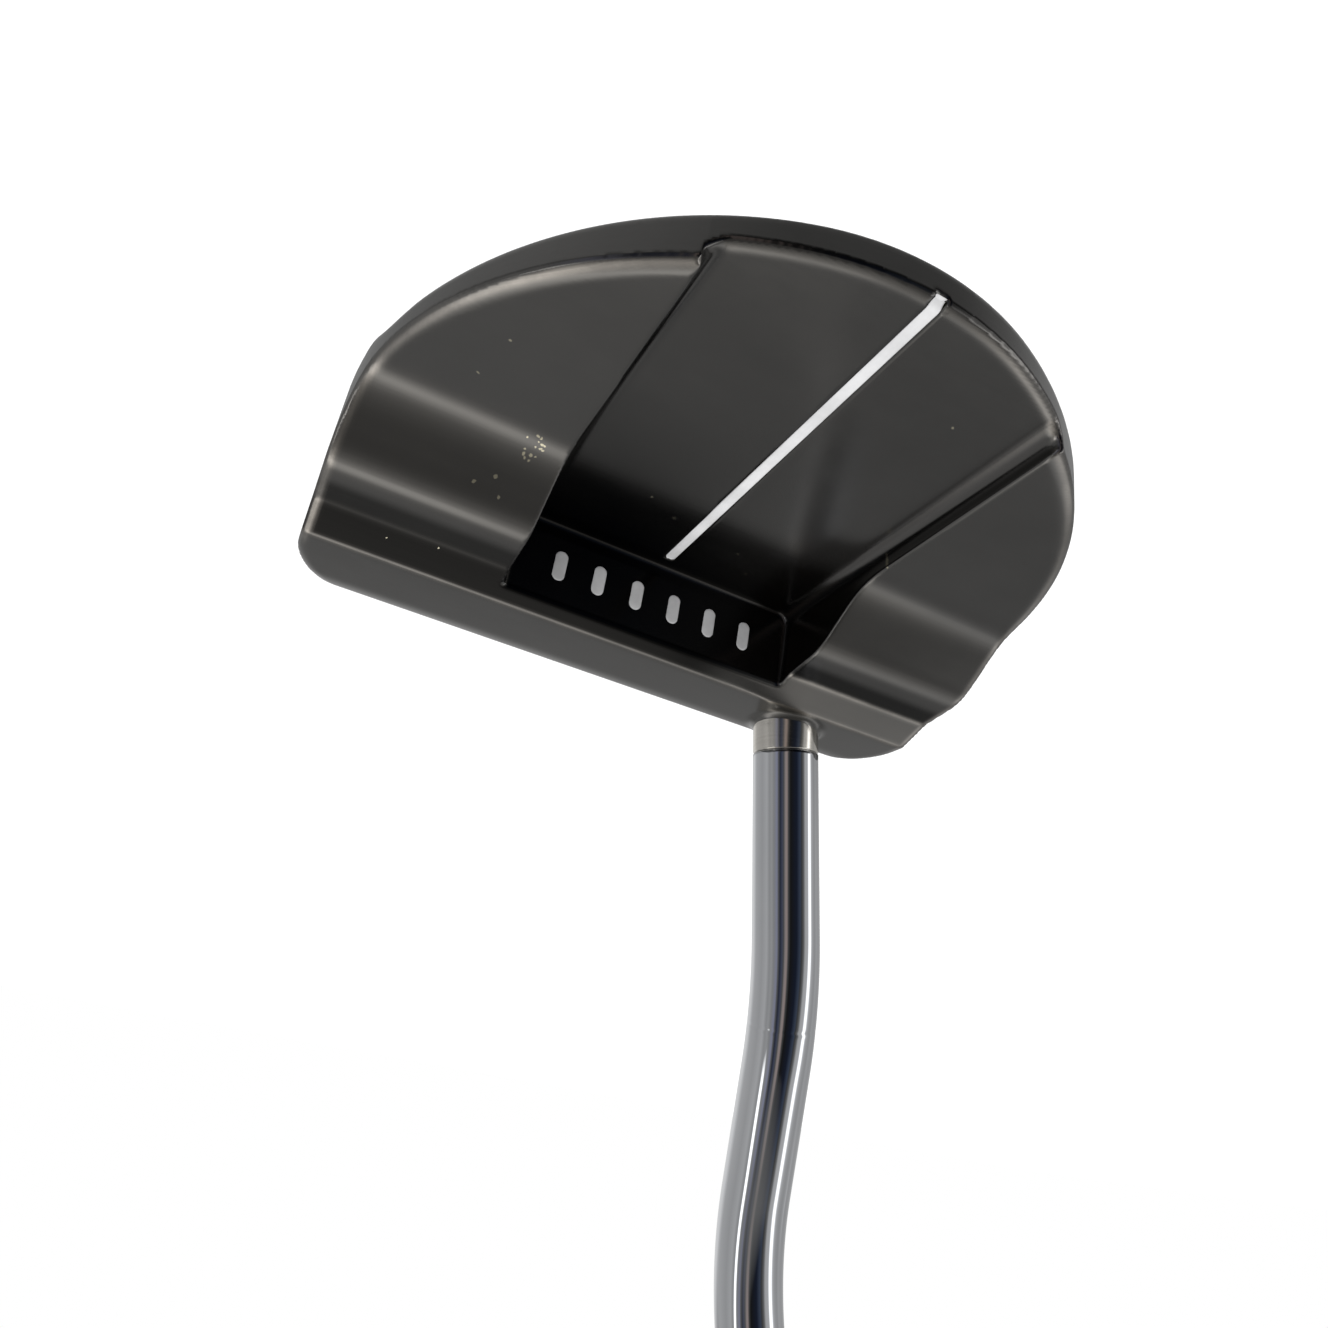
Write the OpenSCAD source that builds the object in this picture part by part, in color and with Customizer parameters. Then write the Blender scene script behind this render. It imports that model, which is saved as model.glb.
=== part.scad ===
// Half-moon mallet putter, right-handed, double-bend stepped steel shaft.
// Units are millimetres. The putter stands at address: +Z is up, the face
// looks toward -Y, the back of the head is +Y, the toe is -X and the heel +X.
// The origin is the middle of the flat part of the sole, on the ground.

/* [Head] */

// overall heel-to-toe width of the head
head_width = 87; // [84:0.5:92]
// depth from the leading edge to the back rim on the centre line
head_depth = 71.2; // [68:0.2:76]
// height of the flat topline above the ground
topline_height = 25.2; // [24:0.2:28]
// radius of the back of the half-moon
back_radius = 36; // [32:0.5:38]
// radius of the two front corners seen from above
front_corner_radius = 12; // [8:0.5:12.5]
// loft of the face, degrees
loft = 3; // [1:0.5:5]

/* [Top profile] */

// back edge of the flat topline
topline_depth = 13.2; // [11.5:0.1:14]
// back edge of the bevel that falls from the topline
bevel_end = 18.2; // [16:0.1:18.5]
// height at the back edge of that bevel
shelf_height = 23.0; // [22.5:0.1:23.8]
// where the shelf starts to roll down to the wings
roll_start = 22.8; // [21:0.1:24]
// where the roll lands on the flat wings
roll_end = 35.4; // [31:0.2:36]
// height of the wings where the roll ends
wing_height = 15.8; // [15:0.1:17]
// how far the wings fall from the roll to the back rim
wing_fall = 0.9; // [0.5:0.1:2]

/* [Channel] */

// width of the open channel between the wings
channel_width = 40; // [37:0.5:43]
// distance from the leading edge to the channel's front wall
channel_front = 15.8; // [15.2:0.1:16.6]
// height of the channel floor at the front wall
channel_floor = 13.0; // [11.5:0.1:13.5]
// fall of the channel floor to the back rim
channel_fall = 0.45; // [0:0.05:0.8]
// radius where the channel sides meet the floor
channel_fillet = 1.8; // [0.5:0.1:3]

/* [Alignment line] */

// width of the painted sight line
line_width = 1.35; // [1:0.05:2]
// depth of the slot the paint sits in
line_depth = 0.8; // [0.5:0.1:1.2]
// front end of the sight line, from the leading edge
line_front = 17.9; // [17.4:0.1:22]

/* [Front wall marks] */

// number of plain painted bars on the channel's front wall
mark_count = 6; // [3:1:7]
// height of each bar
mark_height = 4.2; // [3:0.1:5]
// width of each bar
mark_width = 1.7; // [1:0.1:2.2]
// spacing of the bars
mark_pitch = 5.4; // [4:0.1:5.6]

/* [Sole] */

// front-to-back length of the flat part of the sole
sole_flat_depth = 22; // [18:1:28]
// where the rise of the underside ends
sole_rise_end = 41; // [40:1:55]
// heel-to-toe length of the flat part of the sole
sole_flat_width = 52; // [40:1:60]
// height of the thin back flange's underside on the centre line
back_underside = 8.5; // [7.5:0.1:9.5]
// how much higher that underside is at the heel and toe flanks
flank_rise = 4.4; // [2:0.1:4.6]
// height of the sole's rolled-up ends at the heel and toe
end_underside = 13.5; // [8:0.5:14]

/* [Face insert] */

// heel-to-toe width of the insert
insert_width = 72; // [60:1:72]
// height of the insert
insert_height = 16.4; // [14:0.2:18]
// thickness of the insert
insert_thickness = 4.6; // [3:0.1:6]
// thickness of the adhesive sheet behind the insert
adhesive_thickness = 0.4; // [0.3:0.05:0.6]

/* [Shaft] */

// outside diameter of the shaft tip
tip_diameter = 9.4; // [9:0.1:10]
// outside diameter at the grip end
butt_diameter = 15.2; // [14.5:0.1:15.6]
// wall thickness of the shaft tube
shaft_wall = 0.5; // [0.5:0.05:0.9]
// lie angle of the shaft, degrees
lie = 70; // [68:0.5:72]
// club length along the shaft
club_length = 864; // [838:1:889]
// number of steps rolled into the tube
step_count = 12; // [8:1:14]
// distance between steps
step_pitch = 36; // [30:1:40]
// radius of the lower bend on the tube's centre line
lower_bend_radius = 65; // [55:1:80]
// radius of the upper bend on the tube's centre line
upper_bend_radius = 68; // [55:1:80]
// height of the post's bright shoulder ring above the topline
ring_height = 4.2; // [3:0.1:6]

/* [Grip] */

// length of the grip
grip_length = 267; // [250:1:280]
// diameter of the grip at its lower end
grip_tip_diameter = 20; // [19:0.5:23]
// diameter of the grip at its top end
grip_butt_diameter = 27; // [25:0.5:30]

/* [View] */

// which sub-part to draw

/* [Hidden] */
$fn = 96;
origin_back = 12;                       // leading edge to the origin
half = head_width / 2;
side_y = 24.7;                          // widest station of the half-moon
back_y = head_depth - back_radius;
side_radius = (half * half + pow(side_y - back_y, 2) - back_radius * back_radius)
              / (2 * (half - back_radius));
join_y = back_y + back_radius * (back_y - side_y) / (side_radius - back_radius);
ring_d = tip_diameter;
bore_d = tip_diameter - 2 * shaft_wall;
spigot_d = bore_d - 0.4;
spigot_length = 22;
stud_d = 8;
stud_depth = 14;
tape = 0.25;
insert_z = 12.2;
under_top = back_underside + flank_rise + 0.4;

// wing height at distance y behind the leading edge
function roll_z(y) = wing_height + (shelf_end_z() - wing_height)
    * (1 + cos(180 * (y - roll_start) / (roll_end - roll_start))) / 2;
function shelf_end_z() = shelf_height - 0.16 * (roll_start - bevel_end);

// shaft path: three straight runs joined by two circular bends
foot = [26.77, 7.24, 25];
function unit(v) = v / norm(v);
function rz(v, a) = [v.x * cos(a) - v.y * sin(a), v.x * sin(a) + v.y * cos(a), v.z];
function ry(v, a) = [v.x * cos(a) + v.z * sin(a), v.y, -v.x * sin(a) + v.z * cos(a)];
dir_low = unit([0.198, -0.111, 1]);
dir_mid = unit([0.181, -0.403, 1]);
dir_top = [cos(lie), 0, sin(lie)];
tilt1 = acos(dir_low.z);
turn1 = atan2(dir_low.y, dir_low.x);
mid_local = ry(rz(dir_mid, -turn1), -tilt1);
turn2 = atan2(mid_local.y, mid_local.x);
bend1 = acos(mid_local.z);
top_local = ry(rz(ry(rz(dir_top, -turn1), -tilt1), -turn2), -bend1);
turn3 = atan2(top_local.y, top_local.x);
bend2 = acos(top_local.z);
run1 = 30.1;
run2 = 17;
upper_length = club_length - 122;
first_step = 150;

// ---- placement helpers ----------------------------------------------------

module placed() { translate([0, -origin_back, 0]) children(); }

// sweep a flat Y-Z outline across the head from heel to toe
module across(w) { rotate([90, 0, 90]) linear_extrude(height = w, center = true) children(); }

// work in the plane of the face: local +Z points out of the face
module on_face() {
    translate([0, insert_z * tan(loft), insert_z]) rotate([90 - loft, 0, 0]) children();
}

module at_foot() { translate(foot) rotate([0, tilt1, turn1]) rotate([0, 0, turn2]) children(); }
module after_bend(r, w) { translate([r * (1 - cos(w)), 0, r * sin(w)]) rotate([0, w, 0]) children(); }
module at_mid() { at_foot() translate([0, 0, run1]) after_bend(lower_bend_radius, bend1) children(); }
module at_bend2() { at_mid() translate([0, 0, run2]) rotate([0, 0, turn3]) children(); }
module at_top() { at_bend2() after_bend(upper_bend_radius, bend2) children(); }
// ---- head -----------------------------------------------------------------

// outline of the head seen from above
module planform() {
    union() {
        // back of the half-moon
        intersection() {
            translate([0, back_y]) circle(r = back_radius, $fn = 180);
            translate([-half - 5, join_y]) square([head_width + 10, 60]);
        }
        // the two fuller flanks
        intersection() {
            translate([half - side_radius, side_y]) circle(r = side_radius, $fn = 220);
            translate([side_radius - half, side_y]) circle(r = side_radius, $fn = 220);
            translate([-half - 5, side_y]) square([head_width + 10, join_y - side_y]);
        }
        // straight front block with rounded corners
        translate([-half, front_corner_radius - 1]) square([head_width, side_y - front_corner_radius + 1]);
        translate([-half + front_corner_radius, -1]) square([head_width - 2 * front_corner_radius, front_corner_radius]);
        for (s = [-1, 1]) translate([s * (half - front_corner_radius), front_corner_radius - 1])
            circle(r = front_corner_radius, $fn = 96);
    }
}

// side section of the head: flat topline, bevel, shelf, roll, wings, flat sole
module side_section() {
    polygon(concat(
        [[-1, 1.6], [0.6, 0], [head_depth + 4, 0], [head_depth + 4, wing_height - wing_fall * 1.1]],
        [for (i = [10 : -1 : 1]) [roll_start + (roll_end - roll_start) * i / 10,
                                  roll_z(roll_start + (roll_end - roll_start) * i / 10)]],
        [[roll_start, shelf_end_z()], [bevel_end, shelf_height],
         [topline_depth, topline_height], [2.6, topline_height], [1.5, topline_height - 0.5],
         [-1, topline_height - 0.5]]));
}

// front section: keeps the heel and toe of the sole off the ground
module front_section() {
    w = sole_flat_width / 2;
    polygon(concat([[-w, 0], [w, 0]],
        [for (i = [1 : 6]) [w + (half + 1 - w) * i / 6, end_underside * pow(i / 6, 1.9)]],
        [[half + 1, topline_height + 1], [-half - 1, topline_height + 1]],
        [for (i = [6 : -1 : 1]) [-w - (half + 1 - w) * i / 6, end_underside * pow(i / 6, 1.9)]]));
}

// everything under the thin back flange: the sole sweeps up behind its flat
// part and meets a flange that is lowest on the centre line
module underside_cut() intersection() {
    across(head_width + 20) polygon(concat(
        [[sole_flat_depth, -5]],
        [for (i = [0 : 10]) [sole_flat_depth + (sole_rise_end - sole_flat_depth) * i / 10,
                             under_top * (1 - cos(180 * i / 10)) / 2]],
        [[head_depth + 10, under_top], [head_depth + 10, -5]]));
    translate([0, 100, 0]) rotate([90, 0, 0]) linear_extrude(height = 200) polygon(concat(
        [[-half - 2, -6], [half + 2, -6]],
        [for (i = [10 : -1 : -10]) [(half + 2) * i / 10, back_underside + flank_rise * pow(i / 10, 2)]]));
}

// open channel with softly rounded bottom corners
module channel_cut() {
    c = channel_fillet;
    w = channel_width;
    translate([0, channel_front, channel_floor])
        rotate([-atan(channel_fall / (head_depth - channel_front)), 0, 0])
        rotate([90, 0, 0]) mirror([0, 0, 1]) linear_extrude(height = 80) union() {
            translate([-w / 2 + c, 0]) square([w - 2 * c, 20]);
            translate([-w / 2, c]) square([w, 20 - c]);
            for (s = [-1, 1]) translate([s * (w / 2 - c), c]) circle(r = c, $fn = 64);
        }
}

// slot for the sight line, rounded at its front end
module line_slot(gap, depth, end) {
    translate([0, 0, channel_floor - channel_fall - depth]) linear_extrude(height = depth + 6)
        union() {
            translate([0, line_front + line_width / 2]) circle(d = line_width - 2 * gap, $fn = 32);
            translate([-line_width / 2 + gap, line_front + line_width / 2])
                square([line_width - 2 * gap, end - line_front]);
        }
}

// plain round-ended bars on the front wall of the channel
module wall_marks(grow, depth) {
    for (i = [0 : mark_count - 1])
        translate([(i - (mark_count - 1) / 2) * mark_pitch, channel_front, channel_floor + 5.6])
            rotate([90, 0, 0]) linear_extrude(height = depth) union() {
                square([mark_width + grow, mark_height - mark_width], center = true);
                for (s = [-1, 1]) translate([0, s * (mark_height - mark_width) / 2])
                    circle(d = mark_width + grow, $fn = 32);
            }
}

// round-ended outline of the insert
module insert_outline(grow) {
    union() {
        square([insert_width - insert_height, insert_height + 2 * grow], center = true);
        for (s = [-1, 1]) translate([s * (insert_width - insert_height) / 2, 0])
            circle(d = insert_height + 2 * grow, $fn = 96);
    }
}

module head_body() color([0.23, 0.225, 0.22]) placed() difference() {
    intersection() {
        linear_extrude(height = 40) planform();
        across(head_width + 20) side_section();
        translate([0, 100, 0]) rotate([90, 0, 0]) linear_extrude(height = 200) front_section();
    }
    underside_cut();
    // lofted face
    rotate([-loft, 0, 0]) translate([-60, -20, -10]) cube([120, 20, 50]);
    // pocket for the insert and its adhesive
    on_face() translate([0, 0, -insert_thickness - adhesive_thickness])
        linear_extrude(height = insert_thickness + adhesive_thickness + 2) insert_outline(0.05);
    channel_cut();
    line_slot(0, line_depth, 90);
    wall_marks(0.02, 0.6);
    // socket for the hosel post
    at_foot() translate([0, 0, -stud_depth]) cylinder(d = stud_d + 0.04, h = stud_depth + 10, $fn = 64);
}

module face_insert() color([0.93, 0.93, 0.9]) placed()
    on_face() translate([0, 0, -insert_thickness]) linear_extrude(height = insert_thickness)
        insert_outline(0);

module insert_adhesive() color([0.75, 0.7, 0.5]) placed()
    on_face() translate([0, 0, -insert_thickness - adhesive_thickness])
        linear_extrude(height = adhesive_thickness) insert_outline(0);

module alignment_line() color([0.95, 0.95, 0.95]) placed() intersection() {
    line_slot(0.02, line_depth - 0.02, 90);
    translate([0, 0, -5]) linear_extrude(height = 60) planform();
    across(20) polygon([[0, 0], [head_depth + 4, 0], [head_depth + 4, channel_floor - channel_fall - 0.1],
                        [0, channel_floor - 0.1]]);
}

module front_wall_marks() color([0.95, 0.95, 0.95]) placed() wall_marks(-0.02, 0.55);

// ---- hosel post, shaft and bond --------------------------------------------

module hosel_post() color([0.78, 0.76, 0.72]) placed() difference() {
    at_foot() union() {
        translate([0, 0, -stud_depth]) cylinder(d = stud_d, h = stud_depth + 1, $fn = 64);
        translate([0, 0, -1.2]) cylinder(d = ring_d, h = ring_height + 1.2, $fn = 96);
        translate([0, 0, ring_height]) cylinder(d = spigot_d, h = spigot_length, $fn = 64);
        translate([0, 0, -1.2]) cylinder(d1 = ring_d + 2.4, d2 = ring_d, h = 2.2, $fn = 96);
    }
    // the foot of the post is cut level with the topline outside the stud
    difference() {
        translate([foot.x - 20, foot.y - 20, topline_height - 20]) cube([40, 40, 20.01]);
        at_foot() translate([0, 0, -stud_depth - 5]) cylinder(d = stud_d, h = 60, $fn = 64);
    }
}

module shaft_epoxy() color([0.8, 0.75, 0.55]) placed()
    at_foot() translate([0, 0, ring_height + 0.5]) difference() {
        cylinder(d = bore_d, h = spigot_length - 1, $fn = 64);
        translate([0, 0, -1]) cylinder(d = spigot_d, h = spigot_length + 2, $fn = 64);
    }

// diameter of the tube above step number i
function step_d(i) = tip_diameter + (butt_diameter - tip_diameter) * i / step_count;

// wall of the tube in section; the bends are a hair thinner than the runs
module tube_ring(thin) {
    difference() {
        circle(d = tip_diameter - 2 * thin, $fn = 96);
        circle(d = bore_d + 2 * thin, $fn = 96);
    }
}

// a short straight run of tip-size tube
module tip_tube(h) {
    linear_extrude(height = h) tube_ring(0);
}

// a circular bend starting at the origin and curling toward +X
module bent_tube(r, w) {
    translate([r, 0, 0]) rotate([90, 0, 180]) rotate([0, 0, -0.4])
        rotate_extrude(angle = w + 0.8, $fn = 360) translate([r, 0]) tube_ring(0.04);
}

// the stepped upper run, turned in one piece
module stepped_run() {
    rotate_extrude($fn = 96) polygon(concat(
        [[bore_d / 2, 0], [tip_diameter / 2, 0]],
        [for (i = [1 : step_count]) for (k = [0, 1])
            [step_d(i - 1 + k) / 2, first_step + (i - 1) * step_pitch + 2.4 * k]],
        [[butt_diameter / 2, upper_length], [butt_diameter / 2 - shaft_wall, upper_length]],
        [for (i = [step_count : -1 : 1]) for (k = [1, 0])
            [step_d(i - 1 + k) / 2 - shaft_wall, first_step + (i - 1) * step_pitch + 2.4 * k]]));
}

module shaft() color([0.85, 0.86, 0.88]) placed() union() {
    at_foot() translate([0, 0, ring_height]) tip_tube(run1 - ring_height);
    at_foot() translate([0, 0, run1]) bent_tube(lower_bend_radius, bend1);
    at_mid() tip_tube(run2);
    at_bend2() bent_tube(upper_bend_radius, bend2);
    at_top() stepped_run();
}

// ---- grip -------------------------------------------------------------------

grip_base = upper_length - grip_length;

module grip_tape() color([0.6, 0.55, 0.4]) placed()
    at_top() translate([0, 0, grip_base + 6]) difference() {
        cylinder(d = butt_diameter + 2 * tape, h = grip_length - 8, $fn = 96);
        translate([0, 0, -1]) cylinder(d = butt_diameter, h = grip_length, $fn = 96);
    }

// tapered round body with a flat thumb side facing the target line
module grip_solid() {
    intersection() {
        union() {
            cylinder(d1 = grip_tip_diameter - 1.5, d2 = grip_tip_diameter, h = 4, $fn = 128);
            translate([0, 0, 4]) cylinder(d1 = grip_tip_diameter, d2 = grip_butt_diameter,
                                          h = grip_length - 4, $fn = 128);
        }
        rotate([0, 0, -90]) translate([-40, -40, 0])
            translate([0, 40, 0]) rotate([0, 0, 0]) translate([0, -40, 0])
            cube([40 + grip_tip_diameter / 2 - 1.1, 80, grip_length]);
    }
}

module grip() color([0.09, 0.09, 0.1]) placed()
    at_top() translate([0, 0, grip_base]) rotate([0, 0, thumb_turn]) difference() {
        grip_solid();
        translate([0, 0, -1]) cylinder(d = butt_diameter + 2 * tape + 0.04, h = grip_length + 2, $fn = 96);
    }

// angle that turns the grip's flat side square to the face
thumb_local = ry(rz(ry(rz(ry(rz([0, -1, 0], -turn1), -tilt1), -turn2), -bend1), -turn3), -bend2);
thumb_turn = atan2(thumb_local.y, thumb_local.x) + 90;

module grip_cap() color([0.07, 0.07, 0.075]) placed()
    at_top() translate([0, 0, upper_length]) rotate([0, 0, thumb_turn]) union() {
        intersection() {
            union() {
                cylinder(d = grip_butt_diameter, h = 2, $fn = 128);
                translate([0, 0, 2]) cylinder(d1 = grip_butt_diameter, d2 = grip_butt_diameter - 4, h = 2, $fn = 128);
            }
            rotate([0, 0, -90]) translate([-40, -40, 0])
                cube([40 + grip_tip_diameter / 2 - 1.1, 80, 10]);
        }
        translate([0, 0, -5]) cylinder(d = step_d(step_count) - 2 * shaft_wall - 0.2, h = 5, $fn = 64);
    }

// ---- nodes ------------------------------------------------------------------

head_body();
face_insert();
insert_adhesive();
alignment_line();
front_wall_marks();
hosel_post();
shaft_epoxy();
shaft();
grip_tape();
grip();
grip_cap();
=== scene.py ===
import math

import bmesh
import bpy
import numpy as np
from mathutils import Matrix, Vector


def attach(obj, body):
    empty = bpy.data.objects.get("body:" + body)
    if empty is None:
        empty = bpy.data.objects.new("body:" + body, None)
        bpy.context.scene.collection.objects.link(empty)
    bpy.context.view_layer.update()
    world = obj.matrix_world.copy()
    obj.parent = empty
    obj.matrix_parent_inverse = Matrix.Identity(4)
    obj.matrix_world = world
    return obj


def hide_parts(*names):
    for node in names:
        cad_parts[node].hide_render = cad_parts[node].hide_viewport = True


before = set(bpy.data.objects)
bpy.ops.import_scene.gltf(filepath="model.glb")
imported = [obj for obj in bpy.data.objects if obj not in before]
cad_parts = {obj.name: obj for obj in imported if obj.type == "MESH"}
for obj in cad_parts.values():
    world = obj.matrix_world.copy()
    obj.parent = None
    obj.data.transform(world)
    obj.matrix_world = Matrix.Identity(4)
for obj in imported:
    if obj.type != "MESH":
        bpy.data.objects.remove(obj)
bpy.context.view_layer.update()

MM = 0.001
BACK = 12.0            # leading edge to the origin, mm

# ---------------------------------------------------------------- dimensions
HALF, RB, HEAD_Y, SIDE_Y, RC = 43.5, 36.0, 71.2, 24.7, 12.0
YB = HEAD_Y - RB
RS = (HALF ** 2 + (SIDE_Y - YB) ** 2 - RB ** 2) / (2 * (HALF - RB))
TOP, TOP_Y, BEV_Y, SHELF = 25.2, 13.2, 18.2, 23.0
ROLL0, ROLL1, WING, FALL = 22.8, 35.4, 15.8, 0.9
CH_W, CH_Y, CH_Z, CH_FALL = 40.0, 15.8, 13.0, 0.45
LOFT = math.radians(3)
SOLE_D, RISE, UNDER, FLANK, SOLE_W, END_U = 22.0, 41.0, 8.5, 4.4, 52.0, 13.5
LINE_W, LINE_Y, LINE_D = 1.35, 17.9, 0.8
INS_W, INS_H, INS_Z, INS_T = 72.0, 16.4, 12.2, 4.6


def rmax(a, b, r):
    """Round intersection of two distance fields."""
    u = np.maximum(a + r, 0)
    v = np.maximum(b + r, 0)
    return np.minimum(-r, np.maximum(a, b)) + np.sqrt(u * u + v * v)


# top profile, smoothed a little at each crease
_y = np.arange(-6, 84, 0.05)
_s = SHELF - 0.16 * (ROLL0 - BEV_Y)


def _raw_top(y):
    z = np.full_like(y, TOP)
    m = (y > TOP_Y) & (y <= BEV_Y)
    z[m] = TOP + (SHELF - TOP) * (y[m] - TOP_Y) / (BEV_Y - TOP_Y)
    m = (y > BEV_Y) & (y <= ROLL0)
    z[m] = SHELF - 0.16 * (y[m] - BEV_Y)
    m = (y > ROLL0) & (y <= ROLL1)
    z[m] = WING + (_s - WING) * (1 + np.cos(np.pi * (y[m] - ROLL0) / (ROLL1 - ROLL0))) / 2
    m = y > ROLL1
    z[m] = WING - FALL * (y[m] - ROLL1) / (HEAD_Y + 4 - ROLL1)
    return z - 0.035 * np.clip(4.6 - y, 0, None) ** 2


def _blur(a, sigma):
    n = int(sigma * 4 / 0.05) + 1
    k = np.exp(-0.5 * (np.arange(-n, n + 1) * 0.05 / sigma) ** 2)
    return np.convolve(np.pad(a, n, mode="edge"), k / k.sum(), mode="valid")


_t = _raw_top(_y)
def _ease(y, a, b):
    w = np.clip((y - a) / (b - a), 0, 1)
    return w * w * (3 - 2 * w)


_top = _blur(_t, 0.3)
for _sig, _a, _b in ((0.4, 14.5, 17.0), (1.0, 19.0, 21.5), (2.0, 26.0, 29.0)):
    _k = _ease(_y, _a, _b)
    _top = _top * (1 - _k) + _blur(_t, _sig) * _k
_dtop = np.gradient(_top, _y)


UT = UNDER + FLANK + 0.4


def underside(x, y):
    """Height of the underside: flat sole sweeping up to a thin flange."""
    u = np.clip((y - SOLE_D) / (RISE - SOLE_D), 0, 1)
    a = UT * (1 - np.cos(np.pi * u)) / 2
    b = UNDER + FLANK * (x / (HALF + 2)) ** 2
    r = 2.0
    h = np.clip(r - np.abs(a - b), 0, None)
    return np.minimum(a, b) - h * h / (4 * r)


def outline(x, y):
    x = np.abs(x)
    cx = HALF - RS
    nx, ny = -cx, YB - SIDE_Y
    back = (nx * (y - SIDE_Y) - ny * (x - cx)) > 0
    d_back = np.hypot(x, y - YB) - RB
    d_flank = np.hypot(x - cx, y - SIDE_Y) - RS
    qx, qy = x - (HALF - RC), (RC - 1) - y
    d_corner = np.where((qx > 0) & (qy > 0), np.hypot(np.maximum(qx, 0), np.maximum(qy, 0)) - RC,
                        np.maximum(x - HALF, -1 - y))
    return np.where(back, d_back, np.where(y >= SIDE_Y, d_flank, d_corner))


def stadium(u, v, w, h):
    """Distance to a round-ended bar lying along u."""
    return np.hypot(np.maximum(np.abs(u) - (w - h) / 2, 0), v) - h / 2


FOOT = np.array([26.77, 7.24, 25.0])


def unit(v):
    v = np.array(v, float)
    return v / np.linalg.norm(v)


D1, D2 = unit([0.198, -0.111, 1]), unit([0.181, -0.403, 1])


def head(x, y, z):
    """Signed distance to the head's surface, millimetres from the leading edge."""
    zt, st = np.interp(y, _y, _top), np.interp(y, _y, _dtop)
    d_top = (z - zt) / np.sqrt(1 + st * st)
    floor = CH_Z - CH_FALL * (y - CH_Y) / (HEAD_Y - CH_Y)
    cav = rmax(np.abs(x) - CH_W / 2, floor - z, 1.8)
    cav = rmax(cav, CH_Y - y, 0.55)
    d = rmax(d_top, -cav, 0.32)
    d_out = outline(x, y)
    ax = np.abs(x)
    r = 0.5 + 0.8 * _ease(y, 28, 46)
    r = np.where(y > CH_Y + 20, r + (0.75 - r) * _ease(-ax, -CH_W / 2 - 0.6, -CH_W / 2 + 0.8), r)
    cut = d * 0.94 + (d_out + r) * 0.342
    d = rmax(rmax(d, cut, 0.22), rmax(d_out, cut, 0.2), 0.1)
    d = rmax(d, z * math.sin(LOFT) - y * math.cos(LOFT), 0.9)
    e = np.clip((np.abs(x) - SOLE_W / 2) / (HALF + 1 - SOLE_W / 2), 0, 1.2)
    d = rmax(d, rmax((underside(x, y) - z) / 1.12, (END_U * e ** 1.9 - z) / 1.2, 0.01 + 4 * _ease(y, 24, 34)), 0.7)
    # sight-line slot, open at the back rim
    g = np.where(y < LINE_Y + LINE_W / 2, np.hypot(x, y - LINE_Y - LINE_W / 2), np.abs(x)) - LINE_W / 2
    g = rmax(g, (CH_Z - CH_FALL - LINE_D) - z, 0.15)
    d = rmax(d, -g, 0.12)
    # small fillet round the foot of the post
    w = np.stack([x - FOOT[0], y - FOOT[1], z - FOOT[2]], -1)
    t = w @ D1
    rod = np.maximum(np.sqrt(np.maximum((w * w).sum(-1) - t * t, 0)) - 4.5, np.maximum(t - 1.3, -8 - t))
    u, v2 = np.maximum(1.5 - d, 0), np.maximum(1.5 - rod, 0)
    d = np.maximum(1.5, np.minimum(d, rod)) - np.hypot(u, v2)
    # pocket for the insert
    v = (z - INS_Z) / math.cos(LOFT)
    depth = y * math.cos(LOFT) - z * math.sin(LOFT)
    p = rmax(stadium(x, v, INS_W + 0.25, INS_H + 0.25), depth - INS_T - 0.4, 0.3)
    return rmax(d, -p, 0.18)


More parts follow.
